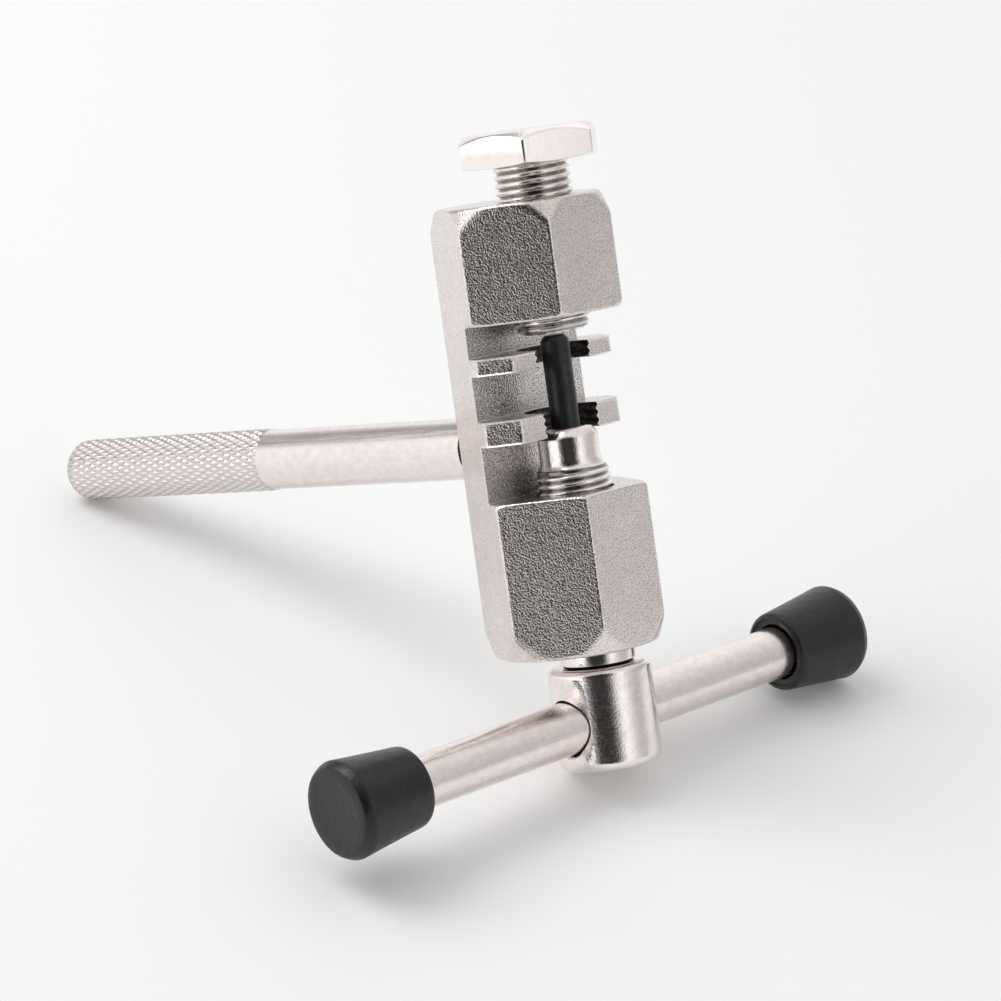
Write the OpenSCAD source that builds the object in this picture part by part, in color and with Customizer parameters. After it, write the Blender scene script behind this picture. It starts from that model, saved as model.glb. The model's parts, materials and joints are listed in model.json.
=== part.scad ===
// Hand tool for pushing the pins out of a bicycle chain, resting on a table.
// Sizes in mm. Z is up and the table is z = 0.
// Each sub-part is drawn in the tool's own frame: the screw axis is Z, the
// front of the body faces +X, the handle points to -X, and z = 0 is the
// bottom end of the body. The placed() module then leans it on the table.

/* [Rest pose] */
// Lean of the screw axis towards the handle, degrees
lean = 23.6; // [22:0.1:25]
// Sideways tilt of the screw axis, degrees
side_tilt = 11.6; // [10:0.1:13]
// Height of the body's bottom end above the table
stand_h = 16.39; // [16:0.01:17]
// Distance from the middle of the footprint to the body's bottom end, along X
stand_x = 39.4; // [36:0.1:43]
// Distance from the middle of the footprint to the body's bottom end, along Y
stand_y = 3.01; // [0:0.01:6]

/* [Body] */
// Width across the flats of the hexagon
body_af = 20.82; // [20:0.02:23]
// Length of the body
body_len = 58.6; // [54:0.1:64]
// Distance from the screw axis to the front flat
front_x = 7.24; // [6.8:0.02:7.8]
// Radius of the screw bores
bore_r = 5.05; // [5.03:0.01:5.1]
// Depth of the turned chamfer at the lower end
low_chamfer_h = 3.5; // [2:0.1:4.5]
// Depth of the turned chamfer at the upper end
top_chamfer_h = 3.1; // [2:0.1:4.5]
// Radial bite of the turned chamfers
chamfer_r = 1.45; // [0.8:0.05:1.8]
// Countersink at the mouth of each bore
bore_mouth = 0.5; // [0.2:0.1:0.8]

/* [Chain window] */
// Height where the window starts
window_z0 = 20.7; // [19:0.1:22]
// Height where the window ends
window_z1 = 43.4; // [42:0.1:45]
// Distance from the screw axis back to the window's rear wall
wall_back = 5.47; // [5.2:0.01:5.9]
// Distance from the screw axis forward to the tips of the teeth
tooth_tip = 1.08; // [0.6:0.02:1.6]
// Lower tooth, underside
tooth_a_z = 28.15; // [27:0.05:29]
// Lower tooth, thickness
tooth_a_t = 3.2; // [2.8:0.05:3.4]
// Upper tooth, underside
tooth_b_z = 37.25; // [36.5:0.05:38]
// Upper tooth, thickness
tooth_b_t = 2.2; // [1.8:0.05:2.4]

/* [Driving screw] */
// Outside radius of the thread
thread_r = 5; // [4.98:0.01:5]
// Height of the hub's end face below the body
hub_z0 = -15.35; // [-17:0.05:-14]
// Height of the hub's shoulder
hub_z1 = -2; // [-2.6:0.05:-1.8]
// Radius of the hub
hub_r = 6.75; // [6.5:0.05:7.2]
// Radius of the smooth collar
collar_r = 4.95; // [4.8:0.01:4.98]
// Height where the full thread ends
thread_z1 = 23.6; // [22:0.1:24.5]
// Radius of the nose
nose_r = 3.95; // [3.6:0.05:4.2]
// Height of the nose's end
nose_z1 = 28.95; // [28:0.05:29.5]
// Radius of the cross hole in the hub
cross_r = 4; // [4:0.01:4.1]
// Height of the cross hole's axis
cross_z = -8.85; // [-9.2:0.05:-8.5]

/* [Drive pin] */
// Radius of the drive pin
pin_r = 1.86; // [1.7:0.01:1.9]
// Height of the pin's tip
pin_z1 = 40.85; // [40:0.05:41]
// Length of the pin
pin_len = 26; // [22:0.5:28]
// Radial clearance of the pin in the nose
pin_gap = 0.04; // [0.02:0.01:0.08]

/* [Adjusting screw] */
// Height of the screw's lower end
adj_z0 = 41.3; // [41.1:0.05:42]
// Height of the underside of the head
head_z0 = 63.15; // [61:0.05:64]
// Thickness of the head
head_t = 4.3; // [3:0.05:5]
// Depth of the chamfer at the head's corners
head_chamfer = 1.08; // [0.5:0.01:1.5]
// Width across the flats of the head
head_af = 17; // [16:0.1:17]
// Turn of the head about the screw axis, degrees
head_turn = 8; // [0:1:59]

/* [Tee bar] */
// Direction of the bar about the screw axis, degrees
bar_turn = 80.8; // [75:0.1:95]
// Cant of the bar in its loose hole, degrees
bar_cant = 4.4; // [0:0.1:4.4]
// Shift of the bar along its own axis
bar_shift = -1.26; // [-5:0.02:5]
// Radius of the bar
bar_r = 3.47; // [3.3:0.01:3.47]
// Length of the steel bar
bar_len = 81; // [76:0.5:84]
// Length over both caps
caps_len = 86.8; // [84:0.1:90]

/* [Bar caps] */
// Length of one rubber cap
cap_len = 11.85; // [10:0.05:13]
// Radius at the outer end
cap_r_out = 6.45; // [6:0.05:6.5]
// Radius at the inner end
cap_r_in = 5.35; // [5:0.05:5.6]
// Rounding of the outer edge
cap_round = 1; // [0.5:0.1:1.4]
// Radius of the open mouth round the bar
cap_mouth_r = 4.5; // [4:0.05:4.6]
// Depth of the open mouth
cap_mouth_h = 2.4; // [1:0.1:3]

/* [Side handle] */
// Height of the handle's axis above the body's bottom end
handle_z = 26.75; // [26:0.05:28]
// Radius of the smooth shaft
shaft_r = 4.08; // [4:0.01:4.2]
// Radius over the knurling
knurl_r = 4.28; // [4.15:0.01:4.35]
// Length from the body to the end
handle_len = 79.6; // [74:0.1:84]
// Length from the body to the knurling
smooth_len = 40; // [35:0.5:45]
// Rounding of the end
handle_round = 2.1; // [1:0.1:3]
// Length of the shaft pressed into the body
spigot_len = 6.4; // [5:0.1:6.8]

/* [Hidden] */
$fn = 96;
eps = 0.01;

body_corner_r = body_af / 2 / cos(30);
body_x = front_x - body_af / 2;
back_x = front_x - body_af;
full_r = body_corner_r + 0.05;
cut_r = full_r - chamfer_r;
head_corner_r = head_af / 2 / cos(30);
head_z1 = head_z0 + head_t;
cap_out_s = caps_len / 2;
cap_in_s = caps_len / 2 - cap_len;
cap_mouth_s = cap_in_s + cap_mouth_h;
steel = [0.72, 0.71, 0.70];
bright = [0.80, 0.80, 0.81];
black = [0.07, 0.07, 0.075];

// Puts something drawn in the tool's frame where it rests on the table.
module placed() {
    translate([stand_x, stand_y, stand_h])
        rotate([-side_tilt, -lean, 0])
        children();
}

// Puts something drawn along Z on the tee bar's axis.
module on_bar() {
    translate([0, 0, cross_z])
        rotate([0, 90 - bar_cant, bar_turn])
        translate([0, 0, bar_shift])
        children();
}

module window_cut() {
    difference() {
        translate([-wall_back, -body_af, window_z0])
            cube([body_af + wall_back, 2 * body_af, window_z1 - window_z0]);
        tooth(tooth_a_z, tooth_a_t);
        tooth(tooth_b_z, tooth_b_t);
    }
}

module tooth(z, t) {
    translate([-wall_back - 1, -body_af - 1, z])
        cube([tooth_tip + wall_back + 1, 2 * body_af + 2, t]);
}

module body_blank() {
    intersection() {
        translate([body_x, 0, 0])
            rotate([0, 0, 30])
            cylinder(r = body_corner_r, h = body_len, $fn = 6);
        translate([body_x, 0, 0])
            rotate_extrude()
            polygon([
                [0, 0], [cut_r, 0], [full_r, low_chamfer_h],
                [full_r, body_len - top_chamfer_h], [cut_r, body_len], [0, body_len]
            ]);
    }
}

module body() {
    color(steel)
    placed()
    difference() {
        body_blank();
        window_cut();
        translate([0, 0, -1])
            cylinder(r = bore_r, h = body_len + 2);
        translate([0, 0, -eps])
            cylinder(r1 = bore_r + bore_mouth, r2 = bore_r, h = bore_mouth);
        translate([0, 0, body_len - bore_mouth + eps])
            cylinder(r1 = bore_r, r2 = bore_r + bore_mouth, h = bore_mouth);
        translate([back_x - 1, 0, handle_z])
            rotate([0, 90, 0])
            cylinder(r = shaft_r, h = spigot_len + 1);
        translate([back_x - eps, 0, handle_z])
            rotate([0, 90, 0])
            cylinder(r1 = shaft_r + bore_mouth, r2 = shaft_r, h = bore_mouth);
    }
}

module driving_screw() {
    color(bright)
    placed()
    difference() {
        rotate_extrude()
            polygon([
                [0, hub_z0], [hub_r - 1, hub_z0], [hub_r - 0.3, hub_z0 + 0.3],
                [hub_r, hub_z0 + 1], [hub_r, hub_z1 - 0.7], [hub_r - 0.2, hub_z1 - 0.2],
                [hub_r - 0.7, hub_z1], [collar_r - 0.4, hub_z1], [collar_r - 0.4, hub_z1 + 0.3],
                [collar_r, hub_z1 + 0.3], [collar_r, 0], [thread_r, 0.05], [thread_r, thread_z1],
                [nose_r, thread_z1 + 1], [nose_r, nose_z1 - 1.1],
                [nose_r - 0.85, nose_z1], [0, nose_z1]
            ]);
        translate([0, 0, pin_z1 - pin_len - 0.1])
            cylinder(r = pin_r + pin_gap, h = pin_len);
        translate([0, 0, cross_z])
            rotate([0, 90, bar_turn])
            translate([0, 0, -10])
            cylinder(r = cross_r, h = 20);
        for (end = [0, 180])
            translate([0, 0, cross_z])
                rotate([0, 90, bar_turn + end])
                translate([0, 0, hub_r - 2])
                cylinder(r1 = cross_r - 0.4, r2 = cross_r + 1.2, h = 2.4);
    }
}

module drive_pin() {
    color(black)
    placed()
    rotate_extrude()
        polygon([
            [0, pin_z1 - pin_len], [pin_r - 0.3, pin_z1 - pin_len],
            [pin_r, pin_z1 - pin_len + 0.3], [pin_r, pin_z1 - 0.6],
            [pin_r - 0.6, pin_z1], [0, pin_z1]
        ]);
}

module adjusting_screw() {
    color(bright)
    placed() {
        rotate_extrude()
            polygon([
                [0, adj_z0], [thread_r - 0.9, adj_z0], [thread_r, adj_z0 + 0.9],
                [thread_r, head_z0 + 0.2], [0, head_z0 + 0.2]
            ]);
        intersection() {
            translate([0, 0, head_z0])
                rotate([0, 0, head_turn])
                cylinder(r = head_corner_r, h = head_t, $fn = 6);
            rotate_extrude()
                polygon([
                    [0, head_z0], [head_corner_r, head_z0], [head_corner_r, head_z1 - head_chamfer],
                    [head_corner_r - head_chamfer / tan(30), head_z1], [0, head_z1]
                ]);
        }
    }
}

module tee_bar() {
    color(bright)
    placed()
    on_bar()
    rotate_extrude()
        polygon([
            [0, -bar_len / 2], [bar_r - 0.5, -bar_len / 2], [bar_r, -bar_len / 2 + 0.5],
            [bar_r, bar_len / 2 - 0.5], [bar_r - 0.5, bar_len / 2], [0, bar_len / 2]
        ]);
}

// A cap on the end of the bar at +Z of the bar's own frame.
module cap() {
    rotate_extrude()
        polygon([
            [0, bar_len / 2], [bar_r, bar_len / 2],
            [bar_r, cap_mouth_s], [cap_mouth_r, cap_in_s + 0.4],
            [cap_mouth_r, cap_in_s], [cap_r_in, cap_in_s],
            [cap_r_out, cap_out_s - cap_round],
            [cap_r_out - 0.3 * cap_round, cap_out_s - 0.3 * cap_round],
            [cap_r_out - cap_round, cap_out_s], [0, cap_out_s]
        ]);
}

module bar_cap_right() {
    color(black)
    placed()
    on_bar()
    cap();
}

module bar_cap_left() {
    color(black)
    placed()
    on_bar()
    rotate([180, 0, 0])
    cap();
}

module side_handle() {
    color(steel)
    placed()
    translate([back_x, 0, handle_z])
        rotate([0, -90, 0])
        rotate_extrude()
        polygon([
            [0, -spigot_len + 0.2], [shaft_r - 0.4, -spigot_len + 0.2],
            [shaft_r, -spigot_len + 0.6], [shaft_r, smooth_len],
            [knurl_r, smooth_len + 0.1], [knurl_r, handle_len - handle_round],
            [knurl_r - 0.3 * handle_round, handle_len - 0.3 * handle_round],
            [knurl_r - handle_round, handle_len], [0, handle_len]
        ]);
}

body();
driving_screw();
drive_pin();
adjusting_screw();
tee_bar();
bar_cap_left();
bar_cap_right();
side_handle();
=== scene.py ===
import json
import math

import bmesh
import bpy
from mathutils import Matrix, Vector

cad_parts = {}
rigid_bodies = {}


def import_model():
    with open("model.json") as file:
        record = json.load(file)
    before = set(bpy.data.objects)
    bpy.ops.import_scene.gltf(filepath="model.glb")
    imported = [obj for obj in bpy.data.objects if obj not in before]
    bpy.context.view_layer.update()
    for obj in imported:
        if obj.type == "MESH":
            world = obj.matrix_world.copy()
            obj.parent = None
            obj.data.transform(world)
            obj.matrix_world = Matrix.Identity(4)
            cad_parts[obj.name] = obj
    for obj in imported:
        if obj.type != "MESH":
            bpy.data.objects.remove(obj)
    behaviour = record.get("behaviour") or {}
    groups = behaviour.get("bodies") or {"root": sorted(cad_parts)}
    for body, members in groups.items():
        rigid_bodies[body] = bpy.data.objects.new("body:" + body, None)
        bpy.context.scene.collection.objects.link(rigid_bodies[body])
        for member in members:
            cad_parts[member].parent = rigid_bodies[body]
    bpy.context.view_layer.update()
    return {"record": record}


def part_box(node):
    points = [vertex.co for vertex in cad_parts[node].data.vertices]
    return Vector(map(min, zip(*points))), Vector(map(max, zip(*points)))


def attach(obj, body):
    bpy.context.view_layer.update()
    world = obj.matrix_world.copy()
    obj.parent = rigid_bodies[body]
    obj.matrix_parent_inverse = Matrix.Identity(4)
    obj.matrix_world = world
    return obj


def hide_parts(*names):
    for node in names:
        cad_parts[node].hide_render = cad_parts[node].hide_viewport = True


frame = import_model()
record = frame["record"]

# ---------------------------------------------------------------- the tool's own frame
MM = 0.001
joints = {j["name"]: j for j in record["behaviour"]["joints"]}
mounts = {m["name"]: m for m in record["mounts"]}
axis_z = Vector(joints["screw_turn"]["axis"]).normalized()
axis_x = -Vector(mounts["handle_end"]["axis"]).normalized()
axis_y = axis_z.cross(axis_x).normalized()
axis_x = axis_y.cross(axis_z).normalized()
origin = Vector(joints["screw_turn"]["pos_m"])
TOOL = Matrix.Translation(origin) @ Matrix((axis_x, axis_y, axis_z)).transposed().to_4x4()
TOOL_INV = TOOL.inverted()


def box_centre(*nodes):
    corners = [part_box(n) for n in nodes]
    lo = [min(c[0][i] for c in corners) for i in range(3)]
    hi = [max(c[1][i] for c in corners) for i in range(3)]
    return (Vector(lo) + Vector(hi)) / 2


bar_axis = Vector(joints["bar_slide"]["axis"]).normalized()
bar_centre = box_centre("tee_bar")
side = bar_axis.cross(axis_z).normalized()
BAR = Matrix.Translation(bar_centre) @ Matrix(
    (side, bar_axis.cross(side), bar_axis)).transposed().to_4x4()

# Heights along the screw axis and sizes, mm
BODY_LEN, BODY_AF, FRONT_X = 58.6, 20.82, 7.24
BODY_X = FRONT_X - BODY_AF / 2
CORNER_R = BODY_AF / 2 / math.cos(math.pi / 6)
BACK_X = FRONT_X - BODY_AF
CUT_R, LOW_H, TOP_H = 10.62, 3.5, 3.1
WIN_Z0, WIN_Z1, WALL, TIP = 20.7, 43.4, 5.47, 1.08
TOOTH_A, TOOTH_B = (28.15, 31.35), (37.25, 39.45)
BORE, PITCH, HANDLE_Z = 5.05, 1.0, 26.75
HUB_Z0, HUB_Z1, HUB_R = -15.35, -2.0, 6.75
NOSE_R, NOSE_Z1, THREAD_Z1 = 3.95, 28.95, 23.6
CROSS_Z = -8.85
PIN_R, PIN_Z1, PIN_LEN = 1.86, 40.85, 26.0
ADJ_Z0, HEAD_Z0, HEAD_Z1, HEAD_AF, HEAD_TURN = 41.3, 63.15, 67.45, 17.0, 8.0
BAR_R, BAR_LEN, CAPS_LEN = 3.47, 81.0, 86.8
CAP_LEN, CAP_OUT, CAP_IN = 11.85, 6.45, 5.35
SHAFT_R, KNURL_R, SMOOTH_LEN, HANDLE_LEN = 4.08, 4.28, 40.0, 79.6
END_ROUND = 2.7  # a little gentler than the CAD's, so that the arc stays inside its straight cuts
GROOVE_END, GROOVE_DEPTH = 2.1, 0.4  # the groove at the handle's root, coloured dark with painted shade
KNURL_TEETH, KNURL_LEAD, KNURL_DEPTH = 28, 66.0, 0.22


# ---------------------------------------------------------------- mesh tools
def new_object(name, bm, matrix):
    mesh = bpy.data.meshes.new(name)
    bmesh.ops.recalc_face_normals(bm, faces=bm.faces)
    bm.to_mesh(mesh)
    bm.free()
    mesh.transform(Matrix.Scale(MM, 4))
    mesh.transform(matrix)
    obj = bpy.data.objects.new(name, mesh)
    bpy.context.scene.collection.objects.link(obj)
    return obj


def rings_to_bm(rings, closed=False):
    """A skin over rings of points, all with the same count, capped at both ends."""
    bm = bmesh.new()
    rows = [[bm.verts.new(p) for p in ring] for ring in rings]
    n = len(rows[0])
    for a, b in zip(rows, rows[1:] + (rows[:1] if closed else [])):
        for i in range(n):
            j = (i + 1) % n
            bm.faces.new((a[i], a[j], b[j], b[i]))
    if not closed:
        bm.faces.new(list(reversed(rows[0])))
        bm.faces.new(rows[-1])
    return bm


def ring(z, radius, n):
    """One ring; radius is a number or a function of the angle."""
    out = []
    for i in range(n):
        t = 2 * math.pi * i / n
        r = radius(t) if callable(radius) else radius
        out.append((r * math.cos(t), r * math.sin(t), z))
    return out


def lathe(points, n=96):
    return rings_to_bm([ring(z, max(r, 0.001), n) for r, z in points])


def arc(cx, cz, r, a0, a1, steps):
    """Points (radius, height) along an arc, angles in degrees."""
    out = []
    for i in range(steps + 1):
        a = math.radians(a0 + (a1 - a0) * i / steps)
        out.append((cx + r * math.cos(a), cz + r * math.sin(a)))
    return out


def thread_rings(z0, z1, crest, root, n=96, rows=12, fade0=0.8, fade1=0.8):
    """Rings of a right-hand thread of PITCH: flat crests, round roots, faded at its ends."""
    rings = []
    count = int(round((z1 - z0) / PITCH * rows))
    for k in range(count + 1):
        z = z0 + (z1 - z0) * k / count
        lo = min(1.0, (z - z0) / fade0) if fade0 else 1.0
        hi = min(1.0, (z1 - z) / fade1) if fade1 else 1.0
        f = min(lo, hi)

        def r(t, z=z, f=f):
            u = (z / PITCH - t / (2 * math.pi)) % 1.0
            v = abs(2 * u - 1)
            h = min(1.0, max(0.0, (v - 0.1) / 0.72))
            h = h * h * (3 - 2 * h) * 0.35 + h * 0.65
            return root + (crest - root) * h * f
        rings.append(ring(z, r, n))
    return rings


def boolean(obj, cutter, operation="DIFFERENCE"):
    mod = obj.modifiers.new("cut", "BOOLEAN")
    mod.operation = operation
    mod.solver = "EXACT"
    mod.object = cutter
    apply_modifiers(obj)
    bpy.data.objects.remove(cutter)


def apply_modifiers(obj):
    graph = bpy.context.evaluated_depsgraph_get()
    mesh = bpy.data.meshes.new_from_object(obj.evaluated_get(graph))
    obj.modifiers.clear()
    old = obj.data
    obj.data = mesh
    bpy.data.meshes.remove(old)


def weld(obj, dist=0.002):
    bm = bmesh.new()
    bm.from_mesh(obj.data)
    bmesh.ops.remove_doubles(bm, verts=bm.verts, dist=dist * MM)
    bmesh.ops.dissolve_degenerate(bm, edges=bm.edges, dist=dist * MM)
    bm.to_mesh(obj.data)
    bm.free()


def bevel_edges(obj, width, weight, segments=3):
    """Bevels edges by weight(edge middle in the tool's frame in mm, angle in degrees)."""
    bm = bmesh.new()
    bm.from_mesh(obj.data)
    layer = bm.edges.layers.float.new("bevel_weight_edge")
    for e in bm.edges:
        if len(e.link_faces) != 2:
            continue
        mid = TOOL_INV @ ((e.verts[0].co + e.verts[1].co) / 2) / MM
        e[layer] = weight(mid, math.degrees(e.calc_face_angle(0)), e)
    bm.to_mesh(obj.data)
    bm.free()
    mod = obj.modifiers.new("edges", "BEVEL")
    mod.limit_method = "WEIGHT"
    mod.width = width * MM
    mod.segments = segments
    mod.use_clamp_overlap = True
    mod.miter_outer = "MITER_ARC"
    apply_modifiers(obj)


def smooth(obj, angle=32, weighted=False):
    obj.data.shade_smooth()
    obj.data.set_sharp_from_angle(angle=math.radians(angle))
    if weighted:
        mod = obj.modifiers.new("normals", "WEIGHTED_NORMAL")
        mod.keep_sharp = True
        mod.weight = 80


def join(name, objs):
    bm = bmesh.new()
    for o in objs:
        bm.from_mesh(o.data)
    mesh = bpy.data.meshes.new(name)
    bm.to_mesh(mesh)
    bm.free()
    for o in objs:
        bpy.data.objects.remove(o)
    obj = bpy.data.objects.new(name, mesh)
    bpy.context.scene.collection.objects.link(obj)
    return obj


def hexagon(af, turn=0.0, rho=0.0):
    """Radius of a hexagon by angle, with flats at turn + 60 k degrees and its corners rounded to rho."""
    centre = (af / 2 - rho) / math.cos(math.pi / 6)

    def r(t):
        a = (t - math.radians(turn) + math.pi / 6) % (math.pi / 3) - math.pi / 6
        flat = af / 2 / math.cos(a)
        if abs(flat * math.sin(a)) <= (af / 2 - rho) * math.tan(math.pi / 6):
            return flat
        b = math.pi / 6 - abs(a)
        return centre * math.cos(b) + math.sqrt(max(0.0, rho ** 2 - (centre * math.sin(b)) ** 2))
    return r


def hexagon_angles(turn=0.0):
    """Angles for a ring of a rounded hexagon: close together at its corners."""
    steps = (-28, -25, -22, -19, -16, -13, -10.5, -8.5, -7, -5.7, -4.6, -3.7,
             -3.0, -2.5, -2.1, -1.7, -1.3, -0.9, -0.5)
    near = list(steps) + [0] + [-x for x in reversed(steps)] + [30]
    out = []
    for k in range(6):
        out += [math.radians(turn + 30 + 60 * k + x) for x in near]
    return out


# ---------------------------------------------------------------- materials
class Nodes:
    """Short names for building a node tree."""

    def __init__(self, name):
        self.mat = bpy.data.materials.new(name)
        self.mat.use_nodes = True
        self.tree = self.mat.node_tree
        self.tree.nodes.clear()
        self.out = self.tree.nodes.new("ShaderNodeOutputMaterial")
        self.bsdf = self.tree.nodes.new("ShaderNodeBsdfPrincipled")
        self.tree.links.new(self.bsdf.outputs[0], self.out.inputs[0])
        self.place = self.tree.nodes.new("ShaderNodeTexCoord").outputs["Object"]

    def link(self, value, socket):
        if isinstance(value, bpy.types.NodeSocket):
            self.tree.links.new(value, socket)
        else:
            socket.default_value = value

    def frame(self, matrix, scale=(1, 1, 1)):
        """Object coordinates turned into the piece's own frame, in mm times scale."""
        inv = matrix.inverted()
        turn = self.tree.nodes.new("ShaderNodeMapping")
        turn.vector_type = "POINT"
        turn.inputs["Location"].default_value = inv.translation
        turn.inputs["Rotation"].default_value = inv.to_euler()
        self.link(self.place, turn.inputs["Vector"])
        grow = self.tree.nodes.new("ShaderNodeVectorMath")
        grow.operation = "MULTIPLY"
        grow.inputs[1].default_value = [1000 * s for s in scale]
        self.link(turn.outputs[0], grow.inputs[0])
        return grow.outputs[0]

    def noise(self, vector, scale, detail=3.0, rough=0.55, distortion=0.0):
        n = self.tree.nodes.new("ShaderNodeTexNoise")
        self.link(vector, n.inputs["Vector"])
        n.inputs["Scale"].default_value = scale
        n.inputs["Detail"].default_value = detail
        n.inputs["Roughness"].default_value = rough
        n.inputs["Distortion"].default_value = distortion
        return n.outputs[0]

    def remap(self, value, a, b, c, d):
        n = self.tree.nodes.new("ShaderNodeMapRange")
        n.clamp = True
        self.link(value, n.inputs[0])
        for i, v in zip((1, 2, 3, 4), (a, b, c, d)):
            n.inputs[i].default_value = v
        return n.outputs[0]

    def math(self, op, a, b=0.5):
        n = self.tree.nodes.new("ShaderNodeMath")
        n.operation = op
        self.link(a, n.inputs[0])
        self.link(b, n.inputs[1])
        return n.outputs[0]

    def mix(self, factor, a, b, blend="MIX"):
        n = self.tree.nodes.new("ShaderNodeMix")
        n.data_type = "RGBA"
        n.blend_type = blend
        self.link(factor, n.inputs[0])
        self.link(a, n.inputs[6])
        self.link(b, n.inputs[7])
        return n.outputs[2]

    def bump(self, height, distance, strength=1.0, normal=None):
        n = self.tree.nodes.new("ShaderNodeBump")
        self.link(height, n.inputs["Height"])
        n.inputs["Distance"].default_value = distance * MM
        n.inputs["Strength"].default_value = strength
        if normal is not None:
            self.link(normal, n.inputs["Normal"])
        return n.outputs[0]

    def edges(self, radius):
        """1 along sharp edges and 0 elsewhere, from the rounded normal."""
        bev = self.tree.nodes.new("ShaderNodeBevel")
        bev.samples = 6
        bev.inputs["Radius"].default_value = radius * MM
        geo = self.tree.nodes.new("ShaderNodeNewGeometry")
        dot = self.tree.nodes.new("ShaderNodeVectorMath")
        dot.operation = "DOT_PRODUCT"
        self.link(bev.outputs[0], dot.inputs[0])
        self.link(geo.outputs["Normal"], dot.inputs[1])
        return self.remap(dot.outputs["Value"], 0.995, 0.90, 0.0, 1.0)

    def done(self, color, metallic, roughness, normal=None, **other):
        self.link(color, self.bsdf.inputs["Base Color"])
        self.bsdf.inputs["Metallic"].default_value = metallic
        self.link(roughness, self.bsdf.inputs["Roughness"])
        if normal is not None:
            self.link(normal, self.bsdf.inputs["Normal"])
        for key, value in other.items():
            self.bsdf.inputs[key.replace("_", " ")].default_value = value
        return self.mat


def rgb(r, g, b):
    return (r, g, b, 1.0)


def blasted_plate():
    """Zinc over a blasted and tumbled surface: fine round pits that sparkle where it is dark."""
    m = Nodes("blasted_plate")
    p = m.frame(TOOL)
    coarse = m.noise(p, 4.6, 1.0, 0.5)
    fine = m.noise(p, 8.5, 1.0, 0.5)
    broad = m.noise(p, 0.9, 2.0, 0.5)
    height = m.math("ADD", coarse, m.math("MULTIPLY", fine, 0.16))
    height = m.math("ADD", height, m.math("MULTIPLY", broad, 0.30))
    patches = m.noise(p, 0.16, 3.0, 0.6)
    edge = m.edges(0.3)
    color = m.mix(m.remap(patches, 0.35, 0.7, 0.0, 1.0), rgb(0.78, 0.712, 0.69), rgb(0.85, 0.782, 0.76))
    color = m.mix(m.remap(coarse, 0.36, 0.50, 0.34, 0.0), color, rgb(0.20, 0.198, 0.185))
    # painted highlight: the edge mask lightens the colour along sharp edges
    color = m.mix(edge, color, rgb(0.99, 0.95, 0.93))
    rough = m.mix(edge, m.remap(fine, 0.3, 0.7, 0.10, 0.18), rgb(0.3, 0.3, 0.3))
    return m.done(color, 1.0, rough, m.bump(height, 0.060))


def milled_steel():
    """Cut faces: fine cutter marks under the plating, with some of the blasted grain."""
    m = Nodes("milled_steel")
    p = m.frame(TOOL)
    marks = m.noise(m.frame(TOOL, (1.0, 0.16, 1.6)), 3.2, 3.0, 0.6)
    grain = m.noise(p, 4.4, 1.0, 0.5)
    height = m.math("ADD", m.math("MULTIPLY", marks, 0.30), grain)
    patches = m.noise(p, 0.35, 2.0, 0.5)
    edge = m.edges(0.25)
    color = m.mix(m.remap(patches, 0.3, 0.7, 0.0, 1.0), rgb(0.82, 0.785, 0.77), rgb(0.93, 0.885, 0.865))
    color = m.mix(m.remap(grain, 0.40, 0.54, 0.72, 0.0), color, rgb(0.20, 0.20, 0.19))
    # painted highlight: the edge mask lightens the colour along sharp edges
    color = m.mix(edge, color, rgb(0.99, 0.95, 0.93))
    rough = m.mix(edge, m.remap(marks, 0.3, 0.7, 0.14, 0.24), rgb(0.3, 0.3, 0.3))
    return m.done(color, 1.0, rough, m.bump(height, 0.085))


def tapped_steel():
    """The bore's cut threads: painted shade, a dark colour in uneven patches standing in for the shadow
    down in the bore.
    """
    m = Nodes("tapped_steel")
    p = m.frame(TOOL)
    dark_patches = m.noise(p, 1.6, 3.0, 0.6)
    grain = m.noise(p, 5.0, 2.0, 0.5)
    # painted shade: two dark tones in uneven patches over the whole bore
    color = m.mix(m.remap(dark_patches, 0.4, 0.7, 0.0, 1.0), rgb(0.09, 0.087, 0.083), rgb(0.28, 0.265, 0.255))
    return m.done(color, 1.0, m.remap(grain, 0.3, 0.7, 0.30, 0.46), m.bump(grain, 0.03))


def bright_zinc():
    """The backing screw: bright plating with faint handling marks."""
    m = Nodes("bright_zinc")
    p = m.frame(TOOL)
    ripple = m.noise(p, 1.1, 3.0, 0.5)
    scuffs = m.noise(m.frame(TOOL, (1.0, 1.0, 0.15)), 5.0, 4.0, 0.65)
    edge = m.edges(0.25)
    color = m.mix(m.remap(ripple, 0.35, 0.7, 0.0, 1.0), rgb(0.98, 0.91, 0.885), rgb(0.94, 0.87, 0.845))
    # painted highlight: half the edge mask lightens the colour along sharp edges
    color = m.mix(m.math("MULTIPLY", edge, 0.5), color, rgb(0.98, 0.93, 0.91))
    return m.done(color, 1.0, m.remap(scuffs, 0.35, 0.7, 0.16, 0.28), m.bump(scuffs, 0.006))


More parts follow.
